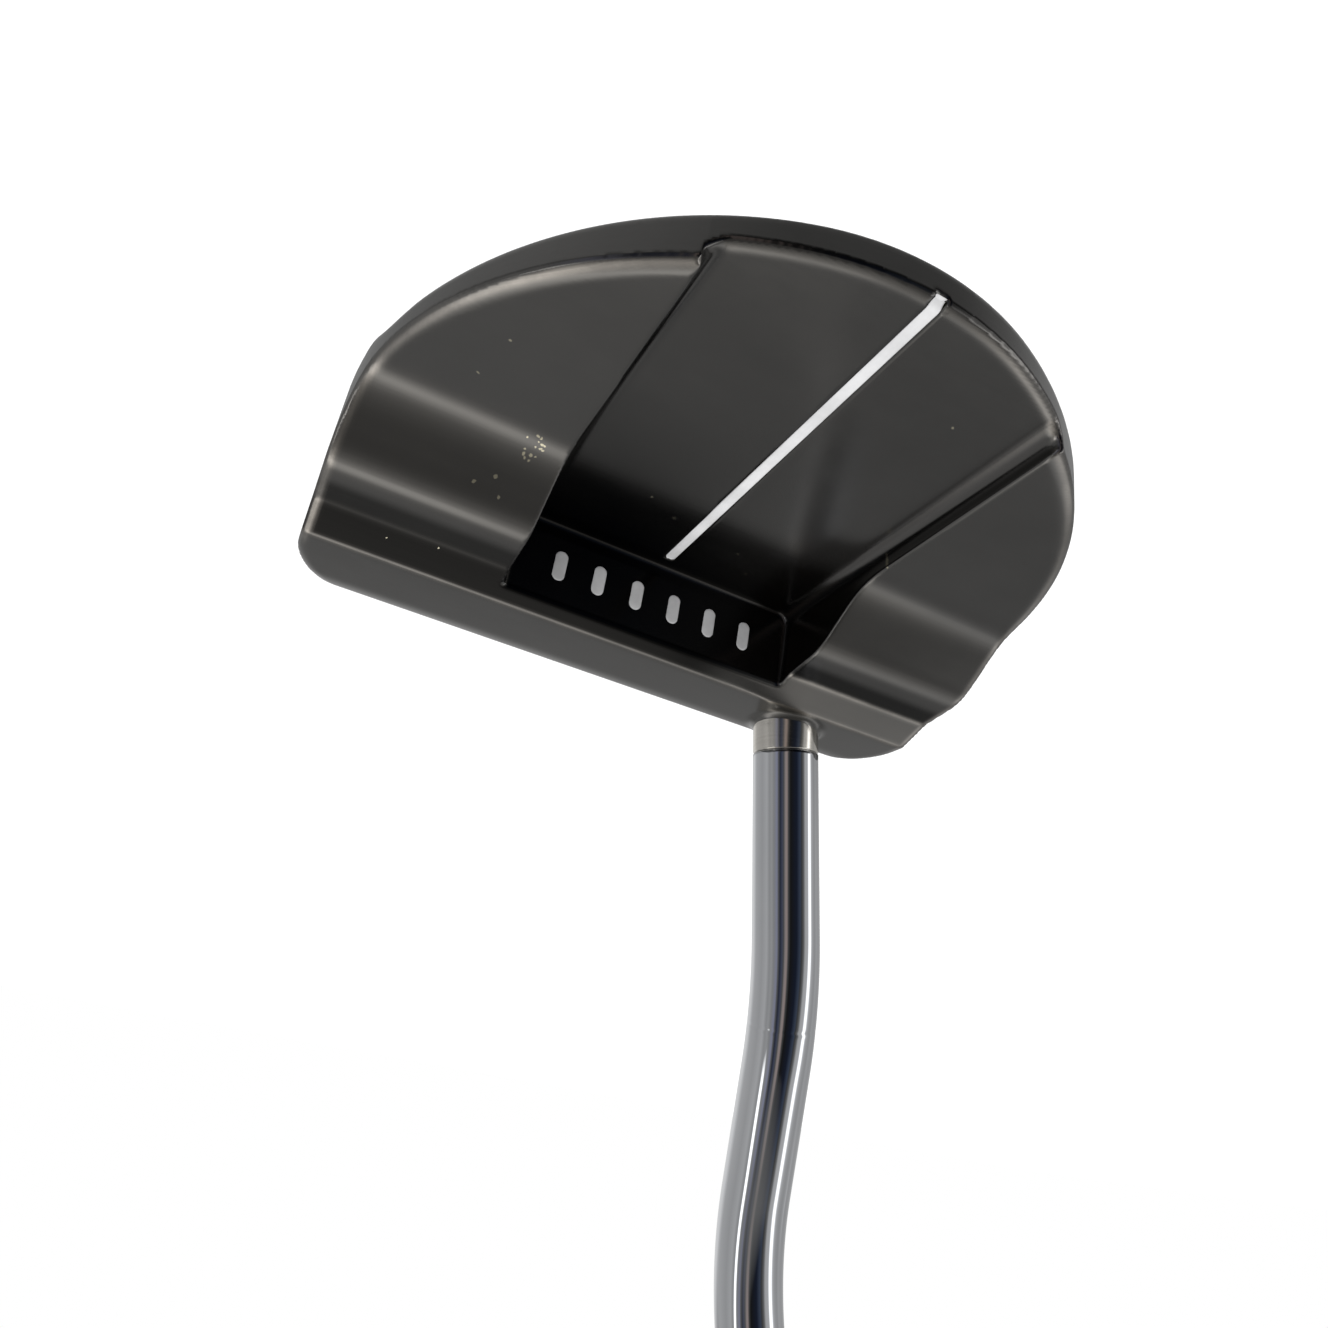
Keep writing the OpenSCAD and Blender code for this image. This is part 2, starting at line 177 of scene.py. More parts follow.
def surface(f, lo, hi, h):
    """Quads on the zero level of f (surface nets), each vertex then moved onto it."""
    ax = [np.arange(a, b + h, h) for a, b in zip(lo, hi)]
    F = np.empty([len(a) for a in ax], np.float32)
    Y, Z = np.meshgrid(ax[1], ax[2], indexing="ij")
    for i, x in enumerate(ax[0]):
        F[i] = f(np.full_like(Y, x), Y, Z)
    inside = F < 0
    nx, ny, nz = F.shape
    acc = np.zeros((nx - 1, ny - 1, nz - 1, 3), np.float32)
    cnt = np.zeros((nx - 1, ny - 1, nz - 1), np.float32)
    corners = [(i, j, k) for i in (0, 1) for j in (0, 1) for k in (0, 1)]

    def sl(c):
        return F[c[0]:nx - 1 + c[0], c[1]:ny - 1 + c[1], c[2]:nz - 1 + c[2]]

    for c in corners:
        for a in range(3):
            if c[a]:
                continue
            e = list(c); e[a] = 1
            f0, f1 = sl(c), sl(e)
            hit = (f0 < 0) != (f1 < 0)
            t = np.where(hit, f0 / np.where(hit, f0 - f1, 1), 0)
            for b in range(3):
                acc[..., b] += np.where(hit, (t if b == a else c[b]), 0)
            cnt += hit
    cell = cnt > 0
    idx = -np.ones(cell.shape, np.int64)
    idx[cell] = np.arange(cell.sum())
    base = np.argwhere(cell)
    P = (base + acc[cell] / cnt[cell][:, None]) * h + np.array([a[0] for a in ax])
    faces = []
    for a in range(3):
        b, c = (a + 1) % 3, (a + 2) % 3
        s0 = [slice(1, n - 1) for n in F.shape]; s1 = list(s0)
        s0[a] = slice(0, F.shape[a] - 1); s1[a] = slice(1, F.shape[a])
        A, B = inside[tuple(s0)], inside[tuple(s1)]
        cross = np.argwhere(A != B)
        g = cross.copy(); g[:, b] += 1; g[:, c] += 1
        quad = []
        for db, dc in ((0, 0), (-1, 0), (-1, -1), (0, -1)):
            q = g.copy(); q[:, b] += db; q[:, c] += dc
            quad.append(idx[q[:, 0], q[:, 1], q[:, 2]])
        quad = np.stack(quad, 1)
        flip = ~A[tuple(cross.T)]
        quad[flip] = quad[flip][:, ::-1]
        faces.append(quad)
    faces = np.concatenate(faces)
    for _ in range(4):
        e = 0.02
        v = f(P[:, 0], P[:, 1], P[:, 2])
        g = np.stack([(f(P[:, 0] + e * (i == 0), P[:, 1] + e * (i == 1), P[:, 2] + e * (i == 2)) - v) / e
                      for i in range(3)], 1)
        n = np.linalg.norm(g, axis=1)[:, None]
        step = np.clip(v[:, None] / np.maximum(n, 0.3), -0.25, 0.25)
        P = P - 0.9 * step * g / np.maximum(n, 1e-6)
    return P, faces


def make(name, P, faces, smooth=True):
    P = np.asarray(P, float).copy()
    P[:, 1] -= BACK
    me = bpy.data.meshes.new(name)
    me.from_pydata((P * MM).tolist(), [], [list(map(int, f)) for f in faces])
    me.validate()
    me.update()
    bm = bmesh.new(); bm.from_mesh(me)
    bmesh.ops.recalc_face_normals(bm, faces=bm.faces)
    bm.to_mesh(me); bm.free()
    me.polygons.foreach_set("use_smooth", [smooth] * len(me.polygons))
    ob = bpy.data.objects.new(name, me)
    bpy.context.scene.collection.objects.link(ob)
    return ob


def rings(name, loops, closed_ends=(True, True)):
    """Skin a list of equal-length closed loops, with fan caps."""
    n = len(loops[0])
    P = [p for L in loops for p in L]
    F = []
    for i in range(len(loops) - 1):
        for j in range(n):
            a, b = i * n + j, i * n + (j + 1) % n
            F.append((a, b, b + n, a + n))
    if closed_ends[0]:
        P.append(np.mean(loops[0], axis=0))
        F += [(len(P) - 1, (j + 1) % n, j) for j in range(n)]
    if closed_ends[1]:
        P.append(np.mean(loops[-1], axis=0)); o = (len(loops) - 1) * n
        F += [(len(P) - 1, o + j, o + (j + 1) % n) for j in range(n)]
    return make(name, np.array(P), F)


# ---------------------------------------------------------------- shaft path
LIE = math.radians(70)
D3 = np.array([math.cos(LIE), 0, math.sin(LIE)])
RUN1, RUN2, R1, R2, UPPER = 30.1, 17.0, 65.0, 68.0, 742.0


def arc_step(p, a, b, r, n):
    """Points and headings along a circular bend from heading a to heading b."""
    w = math.acos(np.clip(a @ b, -1, 1))
    side = unit(b - a * (a @ b))
    out = []
    for i in range(1, n + 1):
        t = w * i / n
        out.append((p + r * (math.sin(t) * a + (1 - math.cos(t)) * side), math.cos(t) * a + math.sin(t) * side))
    return out


def path_frames(radius_at, ts):
    """Centre, heading and distance for every station in ts along the shaft."""
    p1 = FOOT + D1 * RUN1
    b1 = arc_step(p1, D1, D2, R1, 1)[-1][0]
    w1 = math.acos(D1 @ D2); L1 = R1 * w1
    p2 = b1 + D2 * RUN2
    b2 = arc_step(p2, D2, D3, R2, 1)[-1][0]
    w2 = math.acos(D2 @ D3); L2 = R2 * w2
    s1, s2 = unit(D2 - D1 * (D1 @ D2)), unit(D3 - D2 * (D2 @ D3))
    out = []
    for t in ts:
        if t <= RUN1:
            c, h = FOOT + D1 * t, D1
        elif t <= RUN1 + L1:
            a = (t - RUN1) / R1
            c, h = p1 + R1 * (math.sin(a) * D1 + (1 - math.cos(a)) * s1), math.cos(a) * D1 + math.sin(a) * s1
        elif t <= RUN1 + L1 + RUN2:
            c, h = b1 + D2 * (t - RUN1 - L1), D2
        elif t <= RUN1 + L1 + RUN2 + L2:
            a = (t - RUN1 - L1 - RUN2) / R2
            c, h = p2 + R2 * (math.sin(a) * D2 + (1 - math.cos(a)) * s2), math.cos(a) * D2 + math.sin(a) * s2
        else:
            c, h = b2 + D3 * (t - RUN1 - L1 - RUN2 - L2), D3
        out.append((c, h))
    return out, RUN1 + L1 + RUN2 + L2


_, BENT = path_frames(None, [0])
UP0 = unit([0.9, 0.4, 0])


def ring_at(c, h, r, n=96, shape=None):
    u = unit(UP0 - h * (UP0 @ h)); v = np.cross(h, u)
    a = np.arange(n) / n * 2 * math.pi
    rr = r if shape is None else shape(a)
    return c + (np.cos(a) * rr)[:, None] * u + (np.sin(a) * rr)[:, None] * v


RING_H, TIP = 4.2, 4.7
STEPS, PITCH, FIRST, BUTT = 12, 36.0, 150.0, 7.6
MARK_T = 41.8          # faint tool mark where the lower bend starts


def shaft_radius(t):
    r = TIP
    if t < RING_H + 0.25:
        return TIP - 0.25 + (t - RING_H)
    r -= 0.02 * math.exp(-((t - MARK_T) / 0.26) ** 2)
    for i in range(STEPS):
        s = t - BENT - FIRST - i * PITCH
        g = (BUTT - TIP) / STEPS
        r += g * min(max(s / 2.4, 0), 1)
    return r


# ---------------------------------------------------------------- meshes
H = 0.33
P, Q = surface(head, (-44.6, -1.6, -1.0), (44.6, 72.4, 27.4), H)
body = make("head", P, Q)


def point_values(ob, name, v):
    a = ob.data.attributes.new(name, "FLOAT", "POINT")
    a.data.foreach_set("value", np.asarray(v, np.float32))


px, py, pz = P[:, 0], P[:, 1], P[:, 2]
zt = np.interp(py, _y, _top)
# painted shade: the topline bevel and shelf (less so on the heel side) and the front-left of the channel floor get a
# darker base colour, standing in for dark reflections
on_top = (np.abs(pz - zt) < 0.9) & ((np.abs(px) > CH_W / 2 + 0.1) | (py < CH_Y))
b0, b1, b2 = _ease(py, TOP_Y + 0.15, TOP_Y + 0.6), _ease(py, BEV_Y - 0.4, BEV_Y + 0.4), _ease(py, 20.6, 22.6)
heel = _ease(px, 6, 22)
shade = np.where(on_top, 1 - (0.9 - 0.8 * heel) * b0 * (1 - b1) - (0.68 + 0.12 * heel) * b1 * (1 - b2), 1)
on_floor = (np.abs(px) < CH_W / 2 + 0.2) & (py > CH_Y) & (pz < 15)
shade = np.where(on_floor, 0.88 - 0.5 * (1 - _ease(py, 22, 54)) * (1 - _ease(px, -10, 9)), shade)
point_values(body, "shade", shade)
# rim band: partly real edge wear of the coating, partly painted highlight along the rounded rim
rim = np.exp(-((outline(px, py) + 0.6) / 0.36) ** 2)
edge = np.where(np.abs(px) < CH_W / 2, CH_Z - CH_FALL * (py - CH_Y) / (HEAD_Y - CH_Y), zt)
edge_wear_and_highlight = rim * (np.abs(pz - edge) < 0.95) * _ease(py, 9, 14)
edge_wear_and_highlight = edge_wear_and_highlight * np.where(np.abs(px) < CH_W / 2, 0.12 + 0.88 * _ease(px, 2, 12), 1.0)
# painted highlight: light lines along the front and rear creases of the bevel, stronger on the heel side
crease_highlight = np.exp(-((py - TOP_Y) / 0.35) ** 2) * (0.35 + 0.65 * heel)
crease_highlight += 0.9 * heel * np.exp(-((py - BEV_Y) / 0.35) ** 2)
crease_highlight *= np.abs(pz - zt) < 0.4
point_values(body, "edge_wear_and_highlight", np.maximum(edge_wear_and_highlight, crease_highlight))

# insert: domed-edge stadium slab set in the face
def insert_field(x, y, z):
    v = (z - INS_Z) / math.cos(LOFT)
    depth = y * math.cos(LOFT) - z * math.sin(LOFT)
    return rmax(rmax(stadium(x, v, INS_W - 0.1, INS_H - 0.1), depth - INS_T, 0.3), -depth, 0.25)


P, Q = surface(insert_field, (-39, -1.2, 2.6), (39, 7, 21.6), 0.5)
insert = make("insert", P, Q)


# paint in the sight line: a shallow concave bead that runs out over the rim
def paint_line():
    ys = np.concatenate([LINE_Y + 0.04 + LINE_W / 2 * (1 - np.cos(np.linspace(0, math.pi / 2, 9))),
                         np.linspace(LINE_Y + LINE_W / 2 + 0.4, HEAD_Y - 1.05, 140),
                         HEAD_Y - 1.0 + np.array([0.1, 0.3, 0.5, 0.68, 0.8])])
    loops = []
    for y in ys:
        q = y - LINE_Y - LINE_W / 2
        w = (LINE_W / 2 - 0.03) * (math.sqrt(max(1 - (q / (LINE_W / 2)) ** 2, 0.0)) if q < 0 else 1)
        w = max(w, 0.02)
        zt = CH_Z - CH_FALL * (y - CH_Y) / (HEAD_Y - CH_Y) - 0.1
        zt -= max(0, y - (HEAD_Y - 1.15)) * 1.0
        u = np.linspace(-1, 1, 11)
        top = [(w * k, y, zt - 0.14 * (1 - k * k) * min(1, w * 2)) for k in u]
        bot = [(w * k, y, CH_Z - CH_FALL - LINE_D + 0.04) for k in u[::-1]]
        loops.append(np.array(top + bot))
    return rings("sight_line", loops)


line = paint_line()

# plain bars on the front wall, pillowed like paint fill
def bars():
    P, F = [], []
    for i in range(6):
        cx = (i - 2.5) * 5.4
        w, h = 0.85, 2.1
        n = 40
        loops = []
        for r, lift in ((1.0, -0.3), (1.0, 0.03), (0.93, 0.07), (0.72, 0.085), (0.35, 0.085)):
            a = np.arange(n) / n * 2 * math.pi
            rr = w * r
            sx = np.cos(a) * rr
            sz = np.sin(a) * rr + np.sign(np.sin(a)) * (h - w)
            loops.append(np.stack([cx + sx, np.full(n, CH_Y + lift), CH_Z + 5.6 + sz], 1))
        o = len(P)
        for L in loops:
            P += list(L)
        for k in range(len(loops) - 1):
            for j in range(n):
                a, b = o + k * n + j, o + k * n + (j + 1) % n
                F.append((a, b, b + n, a + n))
        P.append(loops[-1].mean(0)); e = o + (len(loops) - 1) * n
        F += [(len(P) - 1, e + j, e + (j + 1) % n) for j in range(n)]
        P.append(loops[0].mean(0))
        F += [(len(P) - 1, o + (j + 1) % n, o + j) for j in range(n)]
    return make("wall_bars", np.array(P), F)


marks = bars()


# hosel post: flared foot, shoulder ring with a small edge break, spigot inside the shaft
def lathe(name, prof, n=96):
    loops = [ring_at(FOOT + D1 * t, D1, r, n) for t, r in prof]
    return rings(name, loops)


foot_ring = [(-1.1 + 1.7 * (1 - math.cos(a)), 4.7 + 0.75 * (1 - math.sin(a)) ** 1.5)
             for a in np.linspace(0.1, math.pi / 2, 12)]
post = lathe("hosel_ring", [(-1.2, 4.0), (-1.2, 5.3)] + foot_ring +
             [(RING_H - 0.22, 4.7), (RING_H - 0.08, 4.63), (RING_H - 0.02, 4.45), (RING_H - 0.02, 4.15),
              (RING_H + 2, 4.0), (RING_H + 21, 4.0), (RING_H + 22, 3.6)])

ts = [RING_H + 0.02, RING_H + 0.1, RING_H + 0.25]
t = RING_H + 0.6
while t < BENT + 6:
    ts.append(t); t += 0.15 if abs(t - MARK_T) < 1.2 else 1.0
while t < BENT + FIRST - 1:
    ts.append(t); t += 4.0
for i in range(STEPS):
    s = BENT + FIRST + i * PITCH
    ts += [s - 0.3, s, s + 0.6, s + 1.2, s + 1.8, s + 2.4, s + 2.8, s + 12, s + 24]
ts += [BENT + UPPER]
fr, _ = path_frames(None, ts)
shaft = rings("shaft_tube", [ring_at(c, h, shaft_radius(k)) for (c, h), k in zip(fr, ts)])

# grip: tapered, flat on the thumb side, rounded lip and cap
GL, G0, G1 = 267.0, 10.0, 13.5
BASE = BENT + UPPER - GL


def grip_loop(t, r, flat, n=128):
    (c, h), = path_frames(None, [t])[0]
    u = unit(np.array([0, -1, 0]) - h * (np.array([0, -1, 0]) @ h)); v = np.cross(h, u)
    a = np.arange(n) / n * 2 * math.pi
    x, y = np.cos(a) * r, np.sin(a) * r
    k = 6.0
    x = np.where(x > flat - 2, flat - np.log1p(np.exp(-k * (x - flat) / 2)) * 2 / k, x)
    x = np.minimum(x, flat)
    return c + x[:, None] * u + y[:, None] * v


loops = []
for s in np.concatenate([[0, 0.3, 0.8, 1.6, 2.6, 4], np.linspace(6, GL, 110)]):
    r = G0 + (G1 - G0) * s / GL
    edge = 1 - 0.09 * (1 - min(s / 3.0, 1)) ** 2
    loops.append(grip_loop(BASE + s, r * edge, min(8.85, r)))
grip = rings("grip_sleeve", loops)
loops = []
for s, q in ((0, 0.995), (0.5, 1.0), (1.6, 0.995), (2.6, 0.96), (3.4, 0.9), (3.85, 0.8), (4.0, 0.68), (4.0, 0.3)):
    loops.append(grip_loop(BENT + UPPER + s, G1 * q, 8.85 * (q if q < 0.96 else 1)))
cap = rings("grip_end", loops)

# ---------------------------------------------------------------- materials
def mat(name):
    m = bpy.data.materials.new(name)
    m.use_nodes = True
    nt = m.node_tree
    b = nt.nodes["Principled BSDF"]
    return m, nt, b


def node(nt, kind, **kw):
    n = nt.nodes.new(kind)
    for k, v in kw.items():
        setattr(n, k, v)
    return n


def link(nt, a, b):
    nt.links.new(a, b)


def mapping(nt, scale, rot=(0, 0, 0)):
    tc = node(nt, "ShaderNodeTexCoord")
    mp = node(nt, "ShaderNodeMapping")
    mp.inputs["Scale"].default_value = scale
    mp.inputs["Rotation"].default_value = rot
    link(nt, tc.outputs["Object"], mp.inputs["Vector"])
    return mp.outputs["Vector"]


def noise(nt, vec, scale, detail=4, rough=0.55):
    n = node(nt, "ShaderNodeTexNoise")
    n.inputs["Scale"].default_value = scale
    n.inputs["Detail"].default_value = detail
    n.inputs["Roughness"].default_value = rough
    link(nt, vec, n.inputs["Vector"])
    return n.outputs["Fac"]


def ramp(nt, fac, stops):
    r = node(nt, "ShaderNodeValToRGB")
    el = r.color_ramp.elements
    el[0].position, el[1].position = stops[0][0], stops[-1][0]
    for p, _ in stops[1:-1]:
        el.new(p)
    for e, (p, c) in zip(sorted(el, key=lambda q: q.position), stops):
        c = c if isinstance(c, (tuple, list)) else (c, c, c)
        e.color = (*c, 1)
    link(nt, fac, r.inputs["Fac"])
    return r.outputs["Color"]


def math_node(nt, op, a, b=None, clamp=False):
    m = node(nt, "ShaderNodeMath", operation=op)
    m.use_clamp = clamp
    for i, v in enumerate((a, b)):
        if v is None:
            continue
        if isinstance(v, (int, float)):
            m.inputs[i].default_value = v
        else:
            link(nt, v, m.inputs[i])
    return m.outputs[0]


def mix_rgb(nt, fac, a, b, kind="MIX"):
    m = node(nt, "ShaderNodeMix", data_type="RGBA", blend_type=kind)
    for s, v in ((0, fac), (6, a), (7, b)):
        if isinstance(v, (int, float)):
            m.inputs[s].default_value = v
        elif isinstance(v, (tuple, list)):
            m.inputs[s].default_value = (*v, 1) if len(v) == 3 else v
        else:
            link(nt, v, m.inputs[s])
    return m.outputs[2]


def bump(nt, b, height, strength, dist):
    n = node(nt, "ShaderNodeBump")
    n.inputs["Strength"].default_value = strength
    n.inputs["Distance"].default_value = dist
    link(nt, height, n.inputs["Height"])
    link(nt, n.outputs["Normal"], b.inputs["Normal"])


# small dings that show bare metal: heel-to-toe and front-to-back position, size (mm)
DINGS = [(-28.32, 28.15, 0.22), (-26.36, 29.27, 0.2), (-25.21, 27.61, 0.2), (-7.87, 28.96, 0.2), (-3.76, 26.8, 0.28),
         (6.46, 25.03, 0.22), (9.74, 21.57, 0.18), (-34.45, 16.39, 0.1), (-28.63, 17.57, 0.12), (20, 38.27, 0.22),
         (11.61, 59.32, 0.15), (-31.22, 46.6, 0.15), (-32.55, 40.47, 0.14), (-24.1, 35.28, 0.17), (-23.26, 33.7, 0.15),
         (-23.14, 33.78, 0.11), (-25.06, 34.52, 0.13), (-23.28, 34.31, 0.22), (-24.38, 32.1, 0.16), (-22.89, 33.68, 0.17),
         (-23.74, 34.52, 0.11), (-23.69, 35.08, 0.13), (-23.64, 35.29, 0.1), (-23, 34.27, 0.17), (-23.31, 32.64, 0.14),
         (-23.84, 32.01, 0.12), (-24.64, 32.49, 0.2), (-23.87, 32.65, 0.2), (-24.73, 33.05, 0.13), (-23.84, 33.76, 0.11)]


def head_material():
    m, nt, b = mat("head_coating")
    b.inputs["Metallic"].default_value = 1.0
    v = mapping(nt, (1, 1, 1))
    fine = noise(nt, mapping(nt, (60, 1500, 1500)), 1.0, 3, 0.6)
    cloud = noise(nt, v, 38.0, 4, 0.6)
    smudge = noise(nt, mapping(nt, (1, 2.2, 1), (0.2, 0.1, 0.6)), 70.0, 5, 0.7)
    base = ramp(nt, cloud, [(0.3, (0.130, 0.128, 0.124)), (0.7, (0.150, 0.147, 0.142))])
    flat = node(nt, "ShaderNodeVectorMath", operation="MULTIPLY")
    flat.inputs[1].default_value = (1000, 1000, 0)
    link(nt, v, flat.inputs[0])
    wob = node(nt, "ShaderNodeTexNoise"); wob.inputs["Scale"].default_value = 2200.0
    link(nt, v, wob.inputs["Vector"])
    off = node(nt, "ShaderNodeVectorMath", operation="SUBTRACT"); off.inputs[1].default_value = (0.5, 0.5, 0.5)
    link(nt, wob.outputs["Color"], off.inputs[0])
    sc = node(nt, "ShaderNodeVectorMath", operation="MULTIPLY"); sc.inputs[1].default_value = (0.45, 0.45, 0)
    link(nt, off.outputs[0], sc.inputs[0])
    q = node(nt, "ShaderNodeVectorMath", operation="ADD")
    link(nt, flat.outputs[0], q.inputs[0]); link(nt, sc.outputs[0], q.inputs[1])
    nick = None
    for x, y, r in DINGS:
        dn = node(nt, "ShaderNodeVectorMath", operation="DISTANCE")
        dn.inputs[1].default_value = (x, y - BACK, 0)
        link(nt, q.outputs[0], dn.inputs[0])
        one = math_node(nt, "LESS_THAN", dn.outputs["Value"], r)
        nick = one if nick is None else math_node(nt, "MAXIMUM", nick, one)
    up = node(nt, "ShaderNodeSeparateXYZ"); link(nt, v, up.inputs[0])
    nick = math_node(nt, "MULTIPLY", nick, math_node(nt, "GREATER_THAN", up.outputs["Z"], 0.0115))
    # rubbed scratches, very faint
    scr = noise(nt, mapping(nt, (1, 30, 1), (0, 0, 0.5)), 60.0, 2, 0.5)
    thin = ramp(nt, scr, [(0.72, 0.0), (0.76, 1.0)])
    # painted shade: base colour darkened by the per-vertex shade values
    at = node(nt, "ShaderNodeAttribute", attribute_name="shade")
    base = mix_rgb(nt, at.outputs["Fac"], (0.004, 0.004, 0.004), base)
    # lighter base colour near the rim and bevel creases: real edge wear plus painted highlight
    aw = node(nt, "ShaderNodeAttribute", attribute_name="edge_wear_and_highlight")
    rub_and_highlight = math_node(nt, "MULTIPLY", aw.outputs["Fac"], ramp(nt, noise(nt, v, 160.0, 4, 0.7), [(0.3, 0.55), (0.6, 1.0)]))
    base = mix_rgb(nt, rub_and_highlight, base, (0.37, 0.35, 0.325))
    col = mix_rgb(nt, nick, base, (0.52, 0.49, 0.38))
    link(nt, col, b.inputs["Base Color"])
    r = ramp(nt, smudge, [(0.25, 0.17), (0.55, 0.20), (0.8, 0.25)])
    link(nt, math_node(nt, "ADD", r, math_node(nt, "MULTIPLY", thin, 0.04)), b.inputs["Roughness"])
    h = math_node(nt, "ADD", fine, math_node(nt, "MULTIPLY", nick, -1.5))
    bump(nt, b, h, 0.05, 0.00008)
    return m


def chrome_material():
    m, nt, b = mat("shaft_chrome_plate")
    b.inputs["Metallic"].default_value = 1.0
    v = mapping(nt, (1, 1, 1))
    sm = noise(nt, mapping(nt, (1, 1, 0.35)), 60.0, 5, 0.65)
    col = ramp(nt, sm, [(0.3, (0.60, 0.615, 0.64)), (0.7, (0.66, 0.67, 0.69))])
    link(nt, col, b.inputs["Base Color"])
    link(nt, ramp(nt, sm, [(0.3, 0.012), (0.75, 0.035)]), b.inputs["Roughness"])
    fine = noise(nt, mapping(nt, (1500, 1500, 40)), 1.0, 2, 0.5)
    bump(nt, b, fine, 0.012, 0.00003)
    return m


def post_material():
    m, nt, b = mat("post_nickel")
    b.inputs["Metallic"].default_value = 1.0
    fine = noise(nt, mapping(nt, (80, 80, 2600)), 1.0, 3, 0.6)
    col = ramp(nt, fine, [(0.3, (0.60, 0.575, 0.53)), (0.7, (0.67, 0.645, 0.60))])
    link(nt, col, b.inputs["Base Color"])
    link(nt, ramp(nt, fine, [(0.3, 0.12), (0.7, 0.17)]), b.inputs["Roughness"])
    bump(nt, b, fine, 0.05, 0.00004)
    return m


def paint_material(name, lo, hi):
    m, nt, b = mat(name)
    n = noise(nt, mapping(nt, (1, 1, 1)), 420.0, 4, 0.6)
    big = noise(nt, mapping(nt, (1, 1, 1)), 160.0, 4, 0.65)
    col = ramp(nt, big, [(0.35, (lo, lo, lo * 1.01)), (0.65, (hi, hi, hi * 1.01))])
    link(nt, col, b.inputs["Base Color"])
    link(nt, ramp(nt, n, [(0.3, 0.38), (0.7, 0.55)]), b.inputs["Roughness"])
    bump(nt, b, n, 0.3, 0.00014)
    return m


def insert_material():
    m, nt, b = mat("insert_urethane")
    n = noise(nt, mapping(nt, (1, 1, 1)), 300.0, 4, 0.6)
    big = noise(nt, mapping(nt, (1, 1, 1)), 40.0, 4, 0.6)
    col = ramp(nt, big, [(0.3, (0.78, 0.78, 0.76)), (0.7, (0.85, 0.85, 0.83))])
    link(nt, col, b.inputs["Base Color"])
    link(nt, ramp(nt, n, [(0.3, 0.45), (0.7, 0.6)]), b.inputs["Roughness"])
    bump(nt, b, n, 0.2, 0.0001)
    return m


def rubber_material(name, dots):
    m, nt, b = mat(name)
    n = noise(nt, mapping(nt, (1, 1, 1)), 900.0, 4, 0.6)
    big = noise(nt, mapping(nt, (1, 1, 1)), 60.0, 4, 0.6)
    col = ramp(nt, big, [(0.3, (0.022, 0.022, 0.024)), (0.7, (0.036, 0.036, 0.038))])
    link(nt, col, b.inputs["Base Color"])
    link(nt, ramp(nt, n, [(0.3, 0.55), (0.7, 0.75)]), b.inputs["Roughness"])
    h = n
    if dots:
        vo = node(nt, "ShaderNodeTexVoronoi"); vo.inputs["Scale"].default_value = 420.0
        vo.inputs["Randomness"].default_value = 0.05
        link(nt, mapping(nt, (1, 1, 1), (0, 0.35, 0)), vo.inputs["Vector"])
        h = math_node(nt, "ADD", math_node(nt, "MULTIPLY", n, 0.35),
                      math_node(nt, "SMOOTH_MIN", vo.outputs["Distance"], 0.35))
    bump(nt, b, h, 0.5, 0.0003)
    return m


M_head, M_chrome, M_post = head_material(), chrome_material(), post_material()
# the front-wall bars use a darker copy of the same white paint as the sight line: painted shade
M_paint, M_bars_shaded = paint_material("white_fill", 0.60, 0.72), paint_material("white_fill_wall_shaded", 0.46, 0.62)
M_insert = insert_material()
M_grip, M_cap = rubber_material("grip_rubber_skin", True), rubber_material("cap_rubber_skin", False)

for ob, m, cad, slot in ((body, M_head, "head_body", "head_finish"), (insert, M_insert, "face_insert", "insert_polymer"),
                         (line, M_paint, "alignment_line", "white_paint"),
                         (marks, M_bars_shaded, "front_wall_marks", "white_paint"),
                         (post, M_post, "hosel_post", "post_steel"), (shaft, M_chrome, "shaft", "shaft_chrome"),
                         (grip, M_grip, "grip", "grip_rubber"), (cap, M_cap, "grip_cap", "cap_rubber")):
    ob.data.materials.append(m)
    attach(ob, "root")
    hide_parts(cad)

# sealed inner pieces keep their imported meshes
def plain(name, c, r):
    m, nt, b = mat(name)
    n = noise(nt, mapping(nt, (1, 1, 1)), 200.0, 3, 0.6)
    link(nt, ramp(nt, n, [(0.3, tuple(k * 0.9 for k in c)), (0.7, c)]), b.inputs["Base Color"])
    link(nt, ramp(nt, n, [(0.3, r), (0.7, min(1, r + 0.15))]), b.inputs["Roughness"])
    bump(nt, b, n, 0.2, 0.0001)
    return m


glue, tape = plain("cured_epoxy", (0.72, 0.66, 0.45), 0.4), plain("tape_paper", (0.72, 0.66, 0.5), 0.8)
for name, m in (("insert_adhesive", glue), ("shaft_epoxy", glue), ("grip_tape", tape)):
    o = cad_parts[name]
    o.data.materials.clear(); o.data.materials.append(m)

# ---------------------------------------------------------------- stage
def stage_mesh(name, verts, faces):
    me = bpy.data.meshes.new(name)
    me.from_pydata(verts, [], faces); me.update()
    o = bpy.data.objects.new(name, me)
    bpy.context.scene.collection.objects.link(o)
    return o


S = 30.0
floor = stage_mesh("floor", [(-S, -S, -0.9), (S, -S, -0.9), (S, S, -0.9), (-S, S, -0.9)], [(0, 1, 2, 3)])
m, nt, b = mat("floor_paint")
b.inputs["Base Color"].default_value = (0.93, 0.93, 0.93, 1)
b.inputs["Roughness"].default_value = 0.9
floor.data.materials.append(m)
floor.visible_glossy = False

